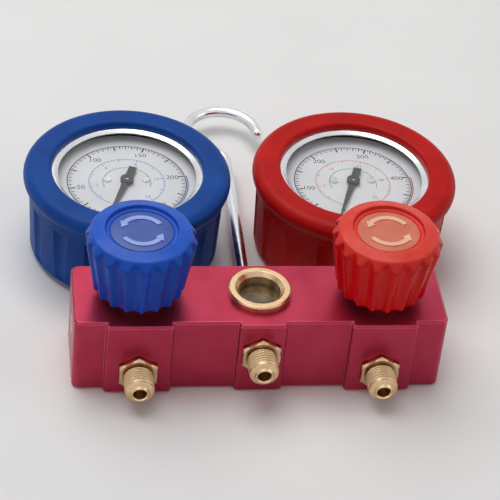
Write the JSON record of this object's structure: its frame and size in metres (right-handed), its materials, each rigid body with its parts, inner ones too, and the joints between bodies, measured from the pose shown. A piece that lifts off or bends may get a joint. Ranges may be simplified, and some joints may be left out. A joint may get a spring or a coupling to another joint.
{
  "type": "refrigerant manifold gauge",
  "caption": "Refrigerant manifold with a blue low-side and a red high-side gauge, fluted valve knobs, sight glass, hose ports and a swivel hook.",
  "frame": {"origin": "centre of the block's flat back face", "axes": "+X from the blue low side to the red high side, +Y towards the hook, hose ports towards -Y, +Z out of the dials; the part lies on its back"},
  "size_m": [0.171, 0.1801, 0.063],
  "materials": {
    "red_anodised": "satin red anodised",
    "brass": "machined brass, lightly dulled",
    "bronze": "drawn phosphor bronze",
    "steel": "turned steel",
    "chrome": "bright nickel-chrome plate",
    "blue_rubber": "moulded blue rubber, half gloss",
    "red_rubber": "moulded red rubber, half gloss",
    "blue_knob": "glossy moulded blue plastic",
    "red_knob": "glossy moulded red plastic",
    "black_rubber": "matt black rubber",
    "white_ptfe": "waxy white plastic",
    "black_paint": "black enamel",
    "dial_white": "matt white dial with printed scales",
    "clear_lens": "clear polished lens",
    "sight_window": "thick polished window, olive in the depth"
  },
  "bodies": {
    "manifold": {"manifold_body": "red_anodised", "end_plugs": "brass", "low_port": "brass", "charge_port": "brass", "high_port": "brass", "sight_glass_ring": "brass", "sight_glass": "sight_window", "sight_glass_seal": "black_rubber", "hook_bushing": "brass", "bonnet_seals": "white_ptfe", "stem_packings": "white_ptfe", "dial_screws": "steel", "case_screws": "steel", "low_bonnet": "brass", "low_packing_nut": "brass", "low_gauge_case": "black_paint", "low_gauge_bezel": "chrome", "low_gauge_lens": "clear_lens", "low_gauge_boot": "blue_rubber", "low_gauge_socket": "brass", "low_bourdon_tube": "bronze", "low_tube_tip": "brass", "low_movement_frame": "brass", "low_dial": "dial_white", "low_hairspring": "bronze", "high_bonnet": "brass", "high_packing_nut": "brass", "high_gauge_case": "black_paint", "high_gauge_bezel": "chrome", "high_gauge_lens": "clear_lens", "high_gauge_boot": "red_rubber", "high_gauge_socket": "brass", "high_bourdon_tube": "bronze", "high_tube_tip": "brass", "high_movement_frame": "brass", "high_dial": "dial_white", "high_hairspring": "bronze"},
    "low_seat": {"low_seat_piston": "white_ptfe"},
    "low_spindle": {"low_valve_stem": "steel", "low_knob": "blue_knob", "low_knob_cap": "blue_knob", "low_knob_screw": "steel"},
    "low_needle": {"low_pointer": "black_paint", "low_pinion": "steel"},
    "low_quadrant": {"low_sector": "brass"},
    "low_pull_link": {"low_link": "steel"},
    "high_seat": {"high_seat_piston": "white_ptfe"},
    "high_spindle": {"high_valve_stem": "steel", "high_knob": "red_knob", "high_knob_cap": "red_knob", "high_knob_screw": "steel"},
    "high_needle": {"high_pointer": "black_paint", "high_pinion": "steel"},
    "high_quadrant": {"high_sector": "brass"},
    "high_pull_link": {"high_link": "steel"},
    "hook_swivel_body": {"hook": "chrome"}
  },
  "joints": [
    {"name": "low_lift", "type": "slide", "parent": "manifold", "child": "low_seat", "axis": [0, 0, 1], "range_m": [0, 0.003]},
    {"name": "low_valve_turn", "type": "hinge", "parent": "low_seat", "child": "low_spindle", "pos_m": [-0.045, 0, 0.05], "axis": [0, 0, 1], "range_deg": [0, 720]},
    {"name": "low_pointer_turn", "type": "hinge", "parent": "manifold", "child": "low_needle", "pos_m": [-0.045, 0.068, 0.03], "axis": [0, 0, 1], "range_deg": [-300, 25]},
    {"name": "low_sector_turn", "type": "hinge", "parent": "manifold", "child": "low_quadrant", "pos_m": [-0.045, 0.0518, 0.019], "axis": [0, 0, 1], "range_deg": [-3.12, 37.5]},
    {"name": "low_link_turn", "type": "hinge", "parent": "low_quadrant", "child": "low_pull_link", "pos_m": [-0.041, 0.04487, 0.018], "axis": [0, 0, 1], "range_deg": [-37.5, 3.12]},
    {"name": "high_lift", "type": "slide", "parent": "manifold", "child": "high_seat", "axis": [0, 0, 1], "range_m": [0, 0.003]},
    {"name": "high_valve_turn", "type": "hinge", "parent": "high_seat", "child": "high_spindle", "pos_m": [0.045, 0, 0.05], "axis": [0, 0, 1], "range_deg": [0, 720]},
    {"name": "high_pointer_turn", "type": "hinge", "parent": "manifold", "child": "high_needle", "pos_m": [0.045, 0.068, 0.03], "axis": [0, 0, 1], "range_deg": [-300, 0]},
    {"name": "high_sector_turn", "type": "hinge", "parent": "manifold", "child": "high_quadrant", "pos_m": [0.045, 0.0518, 0.019], "axis": [0, 0, 1], "range_deg": [0, 37.5]},
    {"name": "high_link_turn", "type": "hinge", "parent": "high_quadrant", "child": "high_pull_link", "pos_m": [0.049, 0.04487, 0.018], "axis": [0, 0, 1], "range_deg": [-37.5, 0]},
    {"name": "hook_swivel", "type": "hinge", "parent": "manifold", "child": "hook_swivel_body", "pos_m": [0, 0.0165, 0.0085], "axis": [0, 1, 0], "continuous": true}
  ],
  "couplings": [
    {"joint": "low_valve_turn", "follows": "low_lift", "rad_per_m": 4188.8},
    {"joint": "low_sector_turn", "follows": "low_pointer_turn", "ratio": -0.125},
    {"joint": "low_link_turn", "follows": "low_pointer_turn", "ratio": 0.125},
    {"joint": "high_valve_turn", "follows": "high_lift", "rad_per_m": 4188.8},
    {"joint": "high_sector_turn", "follows": "high_pointer_turn", "ratio": -0.125},
    {"joint": "high_link_turn", "follows": "high_pointer_turn", "ratio": 0.125}
  ]
}
